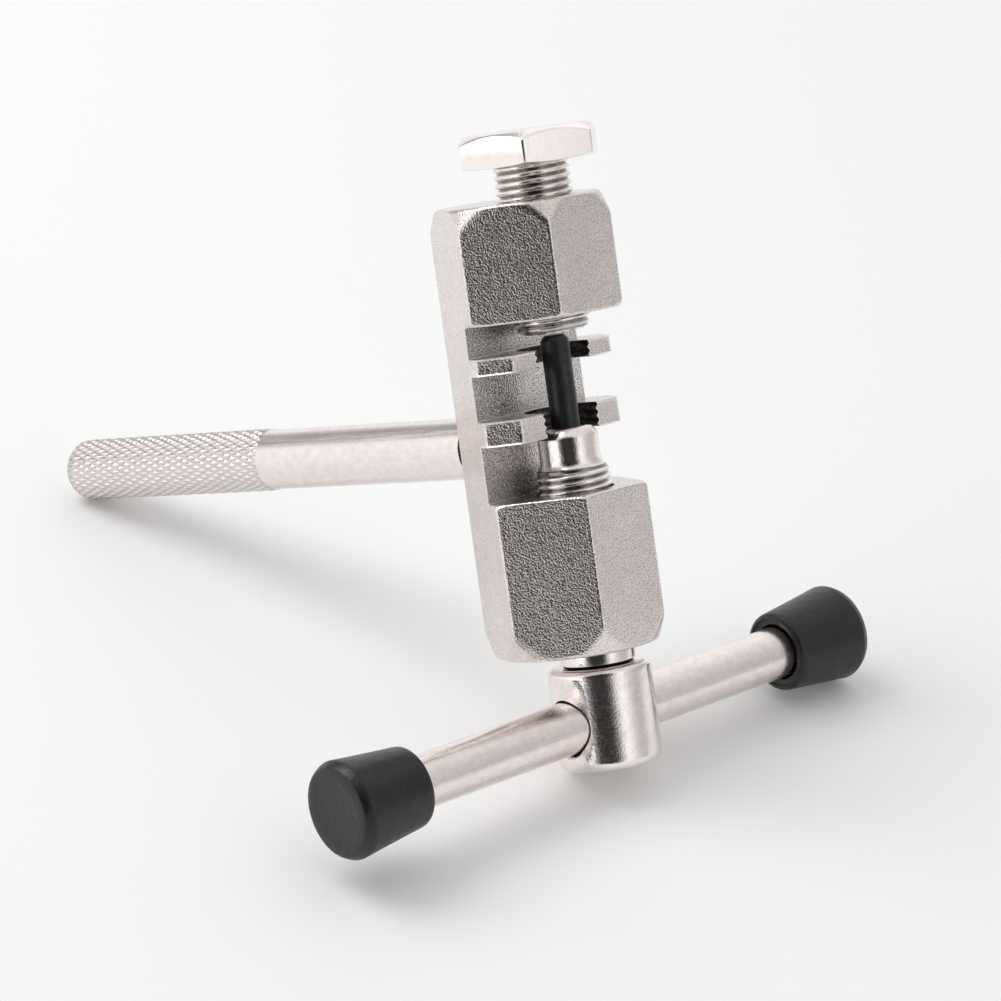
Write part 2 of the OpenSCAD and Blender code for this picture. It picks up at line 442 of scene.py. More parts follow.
def bright_nickel():
    """The driving screw: turned, nickel plated, with a finely pitted skin."""
    m = Nodes("bright_nickel")
    p = m.frame(TOOL)
    turning = m.noise(m.frame(TOOL, (0.03, 0.03, 1.0)), 9.0, 3.0, 0.6)
    ripple = m.noise(p, 1.5, 3.0, 0.55)
    pits = m.noise(p, 4.4, 1.0, 0.5)
    stain = m.noise(p, 0.5, 3.0, 0.6)
    height = m.math("ADD", m.math("MULTIPLY", turning, 0.15), m.math("MULTIPLY", ripple, 0.8))
    height = m.math("ADD", height, m.math("MULTIPLY", pits, 1.5))
    edge = m.edges(0.3)
    color = m.mix(m.remap(stain, 0.35, 0.7, 0.0, 1.0), rgb(0.95, 0.885, 0.86), rgb(0.84, 0.775, 0.75))
    color = m.mix(m.remap(pits, 0.32, 0.42, 0.14, 0.0), color, rgb(0.30, 0.29, 0.27))
    # painted highlight: half the edge mask lightens the colour along sharp edges
    color = m.mix(m.math("MULTIPLY", edge, 0.5), color, rgb(0.98, 0.93, 0.91))
    return m.done(color, 1.0, m.remap(ripple, 0.35, 0.7, 0.09, 0.19), m.bump(height, 0.012))


def thread_metal(name, root, crest):
    """Screw threads: bright crests and flanks, with painted shade darkening the roots by their depth."""
    m = Nodes(name)
    p = m.frame(TOOL)
    flat = m.tree.nodes.new("ShaderNodeVectorMath")
    flat.operation = "MULTIPLY"
    flat.inputs[1].default_value = (1, 1, 0)
    m.link(p, flat.inputs[0])
    size = m.tree.nodes.new("ShaderNodeVectorMath")
    size.operation = "LENGTH"
    m.link(flat.outputs[0], size.inputs[0])
    depth = m.remap(size.outputs["Value"], root, crest, 0.0, 1.0)
    thread_noise = m.noise(p, 2.2, 3.0, 0.6)
    depth = m.math("ADD", depth, m.math("MULTIPLY", thread_noise, 0.3))
    # painted shade: the colour darkens towards the thread's roots, by depth
    color = m.mix(m.remap(depth, 0.15, 0.70, 0.0, 1.0), rgb(0.26, 0.25, 0.24), rgb(0.90, 0.845, 0.825))
    return m.done(color, 1.0, m.remap(thread_noise, 0.3, 0.7, 0.14, 0.26), m.bump(thread_noise, 0.012))


def drawn_steel(name, matrix, strength, knurled=False):
    """Drawn bar: faint streaks along its length, stains and small dents."""
    m = Nodes(name)
    p = m.frame(matrix)
    streak = m.noise(m.frame(matrix, (1.0, 1.0, 0.03)), 3.0, 3.0, 0.55)
    broad = m.noise(m.frame(matrix, (1.0, 1.0, 0.06)), 0.6, 2.0, 0.5)
    mottle = m.noise(p, 0.9, 4.0, 0.6)
    grain = m.noise(p, 3.6, 3.0, 0.6)
    height = m.math("ADD", m.math("MULTIPLY", streak, 0.30), m.math("MULTIPLY", broad, 0.25))
    height = m.math("ADD", height, m.math("MULTIPLY", grain, 0.22))
    edge = m.edges(0.25)
    color = m.mix(m.remap(mottle, 0.38, 0.66, 0.0, 1.0), rgb(0.90, 0.83, 0.805), rgb(0.82, 0.752, 0.728))
    color = m.mix(m.remap(grain, 0.30, 0.42, 0.18, 0.0), color, rgb(0.35, 0.33, 0.31))
    # painted highlight: part of the edge mask lightens the colour along sharp edges
    color = m.mix(m.math("MULTIPLY", edge, 0.4), color, rgb(0.98, 0.93, 0.91))
    if knurled:
        flat = m.tree.nodes.new("ShaderNodeVectorMath")
        flat.operation = "MULTIPLY"
        flat.inputs[1].default_value = (1, 1, 0)
        m.link(p, flat.inputs[0])
        size = m.tree.nodes.new("ShaderNodeVectorMath")
        size.operation = "LENGTH"
        m.link(flat.outputs[0], size.inputs[0])
        # painted shade: the colour darkens down in the knurl's grooves, by depth
        groove = m.remap(size.outputs["Value"], KNURL_R - 0.26, KNURL_R - 0.06, 0.62, 0.12)
        color = m.mix(groove, color, rgb(0.42, 0.39, 0.375))
    low, high = (0.24, 0.36) if knurled else (0.20, 0.30)
    return m.done(color, 1.0, m.remap(streak, 0.3, 0.7, low, high), m.bump(height, strength))


# Black oxide for the pin; the same recipe also gives the painted shade, a near-black colour, in the driving
# screw's undercut and neck slit and in the handle's root groove.
def black_oxide(name="black_oxide"):
    m = Nodes(name)
    p = m.frame(TOOL)
    grain = m.noise(p, 5.0, 3.0, 0.6)
    wear = m.noise(m.frame(TOOL, (1.0, 1.0, 0.3)), 1.4, 3.0, 0.6)
    edge = m.edges(0.3)
    color = m.mix(m.remap(wear, 0.45, 0.75, 0.0, 1.0), rgb(0.018, 0.018, 0.019), rgb(0.045, 0.044, 0.044))
    # painted highlight: the edge mask lightens the near-black along sharp edges
    color = m.mix(m.math("MULTIPLY", edge, 0.35), color, rgb(0.22, 0.21, 0.20))
    return m.done(color, 0.35, m.remap(grain, 0.3, 0.7, 0.30, 0.46), m.bump(grain, 0.012))


def black_rubber():
    """Moulded rubber: very fine grain, dusty scuffs, and a painted highlight that lightens its edges."""
    m = Nodes("black_rubber")
    p = m.frame(BAR)
    grain = m.noise(p, 6.0, 3.0, 0.6)
    waves = m.noise(p, 0.45, 3.0, 0.55)
    lumps = m.noise(p, 1.7, 3.0, 0.6)
    scuff = m.noise(m.frame(BAR, (1.0, 1.0, 0.4)), 1.6, 4.0, 0.7)
    edge = m.edges(0.5)
    color = m.mix(m.remap(waves, 0.35, 0.7, 0.0, 1.0), rgb(0.003, 0.003, 0.0032), rgb(0.007, 0.007, 0.0073))
    color = m.mix(m.remap(scuff, 0.58, 0.76, 0.0, 0.35), color, rgb(0.05, 0.049, 0.047))
    # painted highlight: a paler colour along the edges from the edge mask
    color = m.mix(m.math("MULTIPLY", edge, 0.35), color, rgb(0.085, 0.085, 0.085))
    height = m.math("ADD", m.math("MULTIPLY", grain, 0.10), m.math("MULTIPLY", waves, 2.2))
    height = m.math("ADD", height, m.math("MULTIPLY", lumps, 0.5))
    return m.done(color, 0.0, m.remap(scuff, 0.3, 0.7, 0.30, 0.44), m.bump(height, 0.06),
                  Specular_IOR_Level=0.50)


# ---------------------------------------------------------------- body
def bore_cutter():
    """The tapped bore: a thread cut into the wall, widened at both mouths."""
    z0, z1 = -1.0, BODY_LEN + 1.0
    pts = []
    step = PITCH / 4
    for k in range(int((z1 - z0) / step) + 1):
        z = z0 + k * step
        u = (z / PITCH) % 1.0
        h = abs(2 * u - 1)
        r = BORE + 0.42 * h
        mouth = max(0.5 - z, z - (BODY_LEN - 0.5), 0.0)
        pts.append((max(r, BORE + mouth), z))
    return new_object("bore", lathe(pts, 96), TOOL)


def side_y(x):
    """Half the hexagon's width where it is cut at x."""
    return CORNER_R - abs(x - BODY_X) / math.sqrt(3)


def body_outline():
    """Half of the hexagon's outline from back to front, as (x, y, distance along it)."""
    hexa = hexagon(BODY_AF, rho=0.55)
    angles = [a % (2 * math.pi) for a in hexagon_angles()]
    for cut in (-WALL, TIP):
        a = math.atan2(side_y(cut), cut - BODY_X)
        angles += [a + 0.008 * k for k in range(-12, 13)]
    inner = {round(a, 5) for a in angles if 0 <= a < math.pi - 1e-4}
    angles = sorted(inner | {0.0, round(math.pi, 5)}, reverse=True)
    out, length = [], 0.0
    for a in angles:
        x, y = BODY_X + hexa(a) * math.cos(a), hexa(a) * math.sin(a)
        if out:
            length += math.hypot(x - out[-1][0], y - out[-1][1])
        out.append((x, max(y, 0.0), length))
    return out


def ease(a, b, x):
    f = min(1.0, max(0.0, (x - a) / (b - a)))
    return f * f * (3 - 2 * f)


def soft_min(a, b, k):
    h = max(k - abs(a - b), 0.0) / k
    return min(a, b) - h * h * k / 4


def make_body():
    """One skin over rings: chamfered end, lower block, wall and teeth, upper block, chamfered end."""
    half = body_outline()
    whole = half[-1][2]

    def crossing(cut):
        for p, q in zip(half, half[1:]):
            if (p[0] - cut) * (q[0] - cut) <= 0 and q[0] > p[0]:
                return p[2] + (q[2] - p[2]) * (cut - p[0]) / (q[0] - p[0])

    def cut_at(cut, corner):
        """The outline with everything in front of x = cut taken off, its new corners rounded."""
        at, y0 = crossing(cut), side_y(cut)
        lean = -0.5 if cut < BODY_X else 0.5
        out = []
        for x, y, d in half:
            s = d - at
            if s <= -corner:
                out.append((x, y))
            elif s < corner:
                f = (s + corner) / (2 * corner)
                a = (cut - 0.866 * corner, y0 + lean * corner)
                b = (cut, y0 - corner)
                out.append(tuple((1 - f) ** 2 * a[i] + 2 * f * (1 - f) * (cut, y0)[i] + f * f * b[i]
                                 for i in (0, 1)))
            else:
                out.append((cut, (y0 - corner) * (1 - (s - corner) / (whole - at - corner))))
        return out

    def inset(points, amount):
        """Moves each point inwards, square to the outline, by amount(index)."""
        out = []
        for i, (x, y) in enumerate(points):
            px, py = points[max(i - 1, 0)]
            qx, qy = points[min(i + 1, len(points) - 1)]
            dx, dy = qx - px, qy - py
            n = math.hypot(dx, dy) or 1.0
            out.append((x - dy / n * amount(i), max(0.0, y + dx / n * amount(i)) if y > 0.6 else y))
            if i in (0, len(points) - 1):
                out[-1] = (points[i][0] - (amount(i) if i else 0.0), 0.0)
        return out

    def loop(points, z):
        """Both halves as one closed ring; z is a number or a list, one for each point."""
        n = len(points)
        zs = z if isinstance(z, list) else [z] * n
        right = [(x, y, zs[i]) for i, (x, y) in enumerate(points)]
        left = [(x, -y, zs[i]) for i, (x, y) in enumerate(points)]
        return right + list(reversed(left[1:-1]))

    full = [(x, y) for x, y, d in half]
    wall = cut_at(-WALL, 0.22)
    tooth = cut_at(TIP, 0.55)
    wall_at = crossing(-WALL)
    front = [ease(0.0, 1.0, d - wall_at) for x, y, d in half]
    tooth_front = [ease(0.0, 0.5, d - wall_at) for x, y, d in half]
    tilt = [math.hypot(x - BODY_X, y) for x, y in full]
    corner = [max(0.0, (r - BODY_AF / 2) / (CORNER_R - BODY_AF / 2)) ** 3 for r in tilt]

    def end_rings(z_end, sign, height):
        """The turned end, from its flat to where the hexagon is whole."""
        out = []
        count = 34
        for k in range(count + 1):
            d = (height + 1.0) * (k / count) ** 1.25
            cone = CUT_R + (CORNER_R + 0.05 - CUT_R) * d / height
            round_off = 0.45 - math.sqrt(max(0.0, 0.45 ** 2 - max(0.0, 0.45 - d) ** 2))
            pts = []
            for (x, y), r in zip(full, tilt):
                f = (soft_min(r, cone, 0.34) - round_off) / r
                pts.append((BODY_X + (x - BODY_X) * f, y * f))
            out.append(loop(pts, z_end + sign * d))
        return out

    def block_edge(z_edge, sign, ragged):
        """The block's rounded edge at the window: first ring on the window's face."""
        size = []
        for i, (x, y, d) in enumerate(half):
            wave = ragged * (0.6 * math.sin(2.3 * d + 0.6) + 0.4 * math.sin(5.1 * d)) * ease(4.0, 7.0, x)
            size.append(max(0.12, 0.36 + 0.55 * corner[i] + wave) * front[i])
        out = []
        for k in range(6):
            a = math.radians(18 * k)
            pts, zs = [], []
            for (x, y), r, e in zip(full, tilt, size):
                f = (r - e * (1 - math.sin(a))) / r
                pts.append((BODY_X + (x - BODY_X) * f, y * f))
                zs.append(z_edge + sign * e * (1 - math.cos(a)))
            out.append(loop(pts, zs))
        return out

    def tooth_rings(lo, hi):
        edge = 0.32
        out = [loop(wall, lo)]
        for base, sign, order in ((lo, 1, range(6)), (hi, -1, range(5, -1, -1))):
            for k in order:
                a = math.radians(18 * k)
                pts = inset(tooth, lambda i: edge * (1 - math.sin(a)) * tooth_front[i])
                zs = [base + sign * edge * (1 - math.cos(a)) * f for f in tooth_front]
                out.append(loop(pts, zs))
        return out + [loop(wall, hi)]

    rings = end_rings(0.0, 1, LOW_H)
    rings += list(reversed(block_edge(WIN_Z0, -1, 0.0)))
    rings.append(loop(wall, WIN_Z0))
    for lo, hi in (TOOTH_A, TOOTH_B):
        rings += tooth_rings(lo, hi)
    rings.append(loop(wall, WIN_Z1))
    rings += block_edge(WIN_Z1, 1, 0.16)
    rings += list(reversed(end_rings(BODY_LEN, -1, TOP_H)))
    obj = new_object("body_part", rings_to_bm(rings), TOOL)
    weld(obj)
    boolean(obj, bore_cutter())
    turn = Matrix.Translation((BACK_X, 0, HANDLE_Z)) @ Matrix.Rotation(math.radians(90), 4, "Y")
    hole = lathe([(SHAFT_R + 1.5, -1.0), (SHAFT_R, 0.5), (SHAFT_R, 6.4)], 144)
    hole.transform(turn)
    boolean(obj, new_object("hole", hole, TOOL))
    weld(obj)
    # the cut faces get their own finish; the bore's faces get a dark colour as painted shade
    for poly in obj.data.polygons:
        c = TOOL_INV @ poly.center / MM
        nrm = TOOL_INV.to_3x3() @ poly.normal
        inside = WIN_Z0 - 0.05 < c.z < WIN_Z1 + 0.05
        cut = inside and (abs(nrm.z) > 0.93 or (abs(c.x + WALL) < 0.03 and nrm.x > 0.9))
        bore = (math.hypot(c.x, c.y) < BORE + 0.5 and abs(c.x + WALL) > 0.03
                and abs(nrm.x * c.x + nrm.y * c.y) > 0.3 * math.hypot(c.x, c.y))
        poly.material_index = 2 if bore and 0.3 < c.z < BODY_LEN - 0.3 else 1 if cut else 0
    obj.data.materials.append(blasted_plate())
    obj.data.materials.append(milled_steel())
    obj.data.materials.append(tapped_steel())
    smooth(obj, 28, weighted=True)
    return obj


# ---------------------------------------------------------------- driving screw and pin
def make_driving_screw():
    hub = [(0.5, HUB_Z0)]
    hub += arc(HUB_R - 1.25, HUB_Z0 + 1.25, 1.25, -90, 0, 10)
    hub += [(HUB_R, HUB_Z0 + 1.4), (HUB_R, HUB_Z1 - 1.1)]
    hub += arc(HUB_R - 0.95, HUB_Z1 - 0.95, 0.95, 0, 84, 8)
    hub += [(5.3, HUB_Z1), (4.6, HUB_Z1 - 0.02), (4.2, HUB_Z1 - 0.02), (4.05, HUB_Z1 + 0.02),
            (4.0, HUB_Z1 + 0.11),
            (4.05, HUB_Z1 + 0.21), (4.6, HUB_Z1 + 0.24), (4.84, HUB_Z1 + 0.26), (4.93, HUB_Z1 + 0.32),
            (4.95, HUB_Z1 + 0.40), (4.95, HUB_Z1 + 0.46), (4.95, -0.24), (4.94, -0.18), (4.88, -0.14),
            (4.5, -0.13), (4.5, 0.15), (0.5, 0.3)]
    hub_obj = new_object("hub", lathe(hub, 144), TOOL)
    hole_r = BAR_R + 0.2
    drill = [(hole_r + 0.9, -HUB_R - 1.0), (hole_r + 0.06, -HUB_R + 0.15), (hole_r, -HUB_R + 0.5)]
    cutter = lathe(drill + [(r, -z) for r, z in reversed(drill)], 96)
    boolean(hub_obj, new_object("drill", cutter, hole_frame()))
    weld(hub_obj, 0.001)

    def rim(mid, angle, edge):
        q = hole_frame().inverted() @ (TOOL @ (mid * MM)) / MM
        return 1.0 if angle > 30 and math.hypot(q.x, q.y) < hole_r + 0.6 and abs(q.z) > 3 else 0.0
    bevel_edges(hub_obj, 0.16, rim, segments=2)
    rings = [ring(0.05, 0.5, 96), ring(0.05, 4.6, 96)]
    rings += thread_rings(0.1, THREAD_Z1, 4.98, 4.5)
    rings += [ring(z, r, 96) for r, z in [
        (4.34, THREAD_Z1 + 0.12), (4.2, THREAD_Z1 + 0.3), (4.05, THREAD_Z1 + 0.6),
        (NOSE_R + 0.02, THREAD_Z1 + 0.95), (NOSE_R, THREAD_Z1 + 1.3), (NOSE_R, THREAD_Z1 + 1.4),
        (NOSE_R, NOSE_Z1 - 1.4),
        (NOSE_R - 0.05, NOSE_Z1 - 1.15), (NOSE_R - 0.22, NOSE_Z1 - 0.85), (NOSE_R - 0.62, NOSE_Z1 - 0.22),
        (NOSE_R - 0.85, NOSE_Z1 - 0.03), (NOSE_R - 1.0, NOSE_Z1), (PIN_R + 0.14, NOSE_Z1),
        (PIN_R + 0.05, NOSE_Z1 - 0.15), (PIN_R + 0.04, NOSE_Z1 - 3.0)]]
    shaft = new_object("shaft", rings_to_bm(rings), TOOL)
    obj = join("driving_screw_part", [hub_obj, shaft])
    obj.data.materials.append(bright_nickel())
    obj.data.materials.append(thread_metal("nickel_thread", 4.5, 4.98))
    obj.data.materials.append(black_oxide("undercut_painted_shade"))
    thread_faces(obj, 0.08, THREAD_Z1 + 0.1)
    # painted shade: the undercut under the hub and the slit at the collar's neck get a near-black colour
    for poly in obj.data.polygons:
        c = TOOL_INV @ poly.center / MM
        r = math.hypot(c.x, c.y)
        undercut = HUB_Z1 - 0.03 < c.z < HUB_Z1 + 0.235 and 3.9 < r < 4.5
        neck_slit = -0.13 < c.z < 0.06 and 4.3 < r < 4.55
        if undercut or neck_slit:
            poly.material_index = 2
    smooth(obj, 38)
    return obj


def thread_faces(obj, z0, z1):
    """Gives the second material to the faces of a thread between two heights."""
    for poly in obj.data.polygons:
        c = TOOL_INV @ poly.center / MM
        if z0 < c.z < z1 and 4.0 < math.hypot(c.x, c.y) < 5.1:
            poly.material_index = 1


def hole_frame():
    """The bar's own frame, moved along the bar to the middle of the hub."""
    hub = TOOL @ Vector((0, 0, CROSS_Z * MM))
    along = (hub - bar_centre).dot(bar_axis)
    return Matrix.Translation(bar_axis * along) @ BAR


def make_pin():
    z0 = PIN_Z1 - PIN_LEN
    pts = [(PIN_R - 0.3, z0), (PIN_R, z0 + 0.3), (PIN_R, PIN_Z1 - 0.75)]
    pts += [(PIN_R - 0.06, PIN_Z1 - 0.6), (PIN_R - 0.5, PIN_Z1 - 0.1), (PIN_R - 0.62, PIN_Z1 - 0.01),
            (PIN_R - 0.75, PIN_Z1)]
    obj = new_object("drive_pin_part", lathe(pts, 64), TOOL)
    obj.data.materials.append(black_oxide())
    smooth(obj, 40)
    return obj


# ---------------------------------------------------------------- backing screw
def make_adjusting_screw():
    hexa = hexagon(HEAD_AF, HEAD_TURN + 30, rho=0.45)
    corner = HEAD_AF / 2 / math.cos(math.pi / 6)
    drop = 1.08
    rc = corner - drop / math.tan(math.radians(30))
    angles = hexagon_angles(HEAD_TURN + 30)

    def top(r):
        return HEAD_Z1 - math.tan(math.radians(30)) * max(0.0, r - rc)

    def bottom(t):
        return HEAD_Z0 + 0.3 * max(0.0, (hexa(t) - HEAD_AF / 2) / (corner - HEAD_AF / 2))

    def at(r, z, t):
        return (r * math.cos(t), r * math.sin(t), z)
    rings = [
        [at(4.9, HEAD_Z0, t) for t in angles],
        [at(HEAD_AF / 2 - 0.3, HEAD_Z0, t) for t in angles],
        [at(hexa(t) - 0.12, bottom(t), t) for t in angles],
        [at(hexa(t) - 0.03, bottom(t) + 0.04, t) for t in angles],
        [at(hexa(t), bottom(t) + 0.14, t) for t in angles],
        [at(hexa(t), top(hexa(t)) - 0.16, t) for t in angles],
        [at(hexa(t) - 0.03, top(hexa(t)) - 0.06, t) for t in angles],
        [at(hexa(t) - 0.12, top(hexa(t) - 0.12) - 0.01, t) for t in angles],
        [at(rc + 0.14, top(rc + 0.14) - 0.005, t) for t in angles],
        [at(rc, HEAD_Z1 - 0.025, t) for t in angles],
        [at(rc - 0.16, HEAD_Z1, t) for t in angles],
        [at(4.2, HEAD_Z1, t) for t in angles],
    ]
    head = new_object("head", rings_to_bm(rings), TOOL)
    rings = [ring(ADJ_Z0, 3.2, 96), ring(ADJ_Z0, 3.9, 96), ring(ADJ_Z0 + 0.25, 4.15, 96)]
    rings += thread_rings(ADJ_Z0 + 0.35, HEAD_Z0 + 0.1, 4.98, 4.5, fade0=1.1, fade1=0.4)
    stem = new_object("stem", rings_to_bm(rings), TOOL)
    obj = join("adjusting_screw_part", [head, stem])
    obj.data.materials.append(bright_zinc())
    obj.data.materials.append(thread_metal("zinc_thread", 4.5, 4.98))
    thread_faces(obj, ADJ_Z0 + 0.3, HEAD_Z0 - 0.02)
    smooth(obj, 26)
    return obj


# ---------------------------------------------------------------- tee bar and caps
def make_tee_bar():
    h = BAR_LEN / 2
    pts = [(BAR_R - 0.5, -h), (BAR_R - 0.1, -h + 0.3), (BAR_R, -h + 0.6)]
    pts += [(BAR_R, -h + 0.6 + (2 * h - 1.2) * k / 40) for k in range(1, 40)]
    pts += [(BAR_R, h - 0.6), (BAR_R - 0.1, h - 0.3), (BAR_R - 0.5, h)]
    obj = new_object("tee_bar_part", lathe(pts, 96), BAR)
    obj.data.materials.append(drawn_steel("drawn_bar", BAR, 0.012))
    smooth(obj, 40)
    return obj


def make_cap(name, sign):
    """One rubber cap: open rim round the bar, tapered side, rolled outer edge, flat end."""
    end = CAPS_LEN / 2
    inner = end - CAP_LEN
    mouth = 3.72
    pts = [(0.6, BAR_LEN / 2 + 0.05), (BAR_R + 0.01, BAR_LEN / 2 + 0.05), (BAR_R + 0.01, inner + 2.6),
           (mouth - 0.1, inner + 2.2), (mouth - 0.03, inner + 1.4),
           (mouth, inner + 0.7), (mouth + 0.04, inner + 0.50), (mouth + 0.13, inner + 0.40),
           (mouth + 0.28, inner + 0.36), (CAP_IN - 0.85, inner + 0.33), (CAP_IN - 0.78, inner + 0.28),
           (CAP_IN - 0.74, inner + 0.08), (CAP_IN - 0.68, inner + 0.01), (CAP_IN - 0.58, inner),
           (CAP_IN - 0.42, inner + 0.05), (CAP_IN - 0.25, inner + 0.15), (CAP_IN - 0.12, inner + 0.28),
           (CAP_IN - 0.04, inner + 0.44)]
    steps = 18
    for k in range(1, steps + 1):
        f = k / steps
        z = inner + 0.44 + (CAP_LEN - 0.44 - 1.52) * f
        r = CAP_IN + (CAP_OUT - CAP_IN) * (0.88 * f + 0.12 * f * f)
        pts.append((r, z))
    # a soft bevel and then the edge, walked from the side to the end face
    r, z = pts[-1]
    for radius, a0, a1, steps in ((1.0, 2, 24, 4), (5.2, 24, 34, 4), (0.55, 34, 84, 6)):
        for k in range(steps):
            lo, hi = (math.radians(a0 + (a1 - a0) * (k + i) / steps) for i in (0, 1))
            r += radius * (math.cos(hi) - math.cos(lo))
            z += radius * (math.sin(hi) - math.sin(lo))
            pts.append((r, min(z, end - 0.02)))
    pts += [(r - 0.5, end - 0.03), (r - 1.3, end - 0.09), (2.6, end - 0.14), (0.6, end - 0.15)]
    pts = [(r, sign * z) for r, z in pts]
    obj = new_object(name, lathe(pts, 128), BAR)
    smooth(obj, 50)
    return obj


# ---------------------------------------------------------------- side handle
HANDLE = (TOOL @ Matrix.Translation((BACK_X * MM, 0, HANDLE_Z * MM))
          @ Matrix.Rotation(math.radians(-90), 4, "Y"))


def make_handle():
    """Smooth shaft, then crossed knurling to a rounded end. Drawn along +Z of HANDLE."""
    n = 11 * KNURL_TEETH
    # inside the body, then the groove at the root
    rings = [ring(-6.1, SHAFT_R - 0.4, n), ring(-5.8, SHAFT_R, n), ring(-0.6, SHAFT_R, n),
             ring(-0.5, SHAFT_R - GROOVE_DEPTH, n), ring(GROOVE_END - 0.08, SHAFT_R - GROOVE_DEPTH, n),
             ring(GROOVE_END, SHAFT_R - 0.3, n), ring(GROOVE_END + 0.06, SHAFT_R, n)]
    rings += [ring(SMOOTH_LEN * k / 20, SHAFT_R, n) for k in range(2, 20)]
    start, stop = SMOOTH_LEN - 0.2, HANDLE_LEN
    rows = 290

    def tri(u):
        return abs(2 * (u % 1.0) - 1)

    def outline(z):
        d = z - (HANDLE_LEN - END_ROUND)
        if d <= 0:
            return KNURL_R
        return KNURL_R - END_ROUND + math.sqrt(max(0.0, END_ROUND ** 2 - d * d))
    for k in range(rows + 1):
        z = start + (stop - start) * k / rows
        rim = outline(z)
        fade = min(1.0, max(0.0, (z - SMOOTH_LEN) / 0.5))
        soft = min(1.0, max(0.0, (stop - 0.35 - z) / 1.8))

        def r(t, z=z, rim=rim, fade=fade, soft=soft):
            u = KNURL_TEETH * (t / (2 * math.pi) + z / KNURL_LEAD)
            v = KNURL_TEETH * (t / (2 * math.pi) - z / KNURL_LEAD)
            h = min(1.0, min(tri(u), tri(v)) * 1.15)
            depth = KNURL_DEPTH * soft
            base = rim - depth + depth * h
            return SHAFT_R * (1 - fade) + base * fade if fade < 1 else base
        rings.append(ring(z, r, n))
    rings.append(ring(HANDLE_LEN, (KNURL_R - END_ROUND) * 0.5, n))
    obj = new_object("side_handle_part", rings_to_bm(rings), HANDLE)
    obj.data.materials.append(drawn_steel("drawn_handle", HANDLE, 0.012))
    obj.data.materials.append(drawn_steel("knurled_steel", HANDLE, 0.012, knurled=True))
    obj.data.materials.append(black_oxide("root_painted_shade"))
    inv = HANDLE.inverted()
    for poly in obj.data.polygons:
        along = (inv @ poly.center).z / MM
        # painted shade: the handle inside the body and in its root groove gets a near-black colour
        poly.material_index = 1 if along > SMOOTH_LEN else 2 if along < GROOVE_END else 0
    smooth(obj, 30)
    return obj


def place(obj, body, node):
    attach(obj, body)
    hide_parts(node)


place(make_body(), "frame", "body")
place(make_handle(), "frame", "side_handle")
place(make_driving_screw(), "screw", "driving_screw")
place(make_pin(), "pin", "drive_pin")
place(make_adjusting_screw(), "backing", "adjusting_screw")
place(make_tee_bar(), "handlebar", "tee_bar")
rubber = black_rubber()
for cap_name, cap_sign in (("bar_cap_left", -1), ("bar_cap_right", 1)):
    cap_obj = make_cap(cap_name + "_part", cap_sign)
    cap_obj.data.materials.append(rubber)
    place(cap_obj, "handlebar", cap_name)

# ---------------------------------------------------------------- floor, light, camera
scene = bpy.context.scene


def make_floor():
    bm = bmesh.new()
    size = 40.0
    quad = [bm.verts.new((x * size, y * size, 0)) for x, y in ((-1, -1), (1, -1), (1, 1), (-1, 1))]
    bm.faces.new(quad)
    mesh = bpy.data.meshes.new("floor")
    bm.to_mesh(mesh)
    bm.free()
    obj = bpy.data.objects.new("floor", mesh)
    scene.collection.objects.link(obj)
    m = Nodes("floor_paper")
    m.bsdf.inputs["Emission Color"].default_value = rgb(1, 1, 1)
    m.bsdf.inputs["Emission Strength"].default_value = 0.09
    obj.data.materials.append(m.done(rgb(0.885, 0.885, 0.885), 0.0, 0.9, Specular_IOR_Level=0.05))
    return obj


def keep_under(floor, pieces):
    """Sinks the floor to the lowest point of the pieces, where a joint takes one of them below it."""
    tree = bpy.data.node_groups.new("floor_height", "GeometryNodeTree")
    tree.interface.new_socket("Geometry", in_out="INPUT", socket_type="NodeSocketGeometry")
    tree.interface.new_socket("Geometry", in_out="OUTPUT", socket_type="NodeSocketGeometry")
    start, end = tree.nodes.new("NodeGroupInput"), tree.nodes.new("NodeGroupOutput")
    together = tree.nodes.new("GeometryNodeJoinGeometry")
    for piece in pieces:
        info = tree.nodes.new("GeometryNodeObjectInfo")
        info.transform_space = "RELATIVE"
        info.inputs["Object"].default_value = piece
        tree.links.new(info.outputs["Geometry"], together.inputs[0])
    room = tree.nodes.new("GeometryNodeBoundBox")
    tree.links.new(together.outputs[0], room.inputs[0])
    split = tree.nodes.new("ShaderNodeSeparateXYZ")
    tree.links.new(room.outputs["Min"], split.inputs[0])
    low = tree.nodes.new("ShaderNodeMath")
    low.operation = "MINIMUM"
    low.inputs[1].default_value = 0.0
    tree.links.new(split.outputs[2], low.inputs[0])
    shift = tree.nodes.new("ShaderNodeCombineXYZ")
    tree.links.new(low.outputs[0], shift.inputs[2])
    move = tree.nodes.new("GeometryNodeTransform")
    tree.links.new(start.outputs[0], move.inputs["Geometry"])
    tree.links.new(shift.outputs[0], move.inputs["Translation"])
    tree.links.new(move.outputs[0], end.inputs[0])
    floor.modifiers.new("height", "NODES").node_group = tree


keep_under(make_floor(), [o for o in scene.objects if o.name.endswith("_part")])

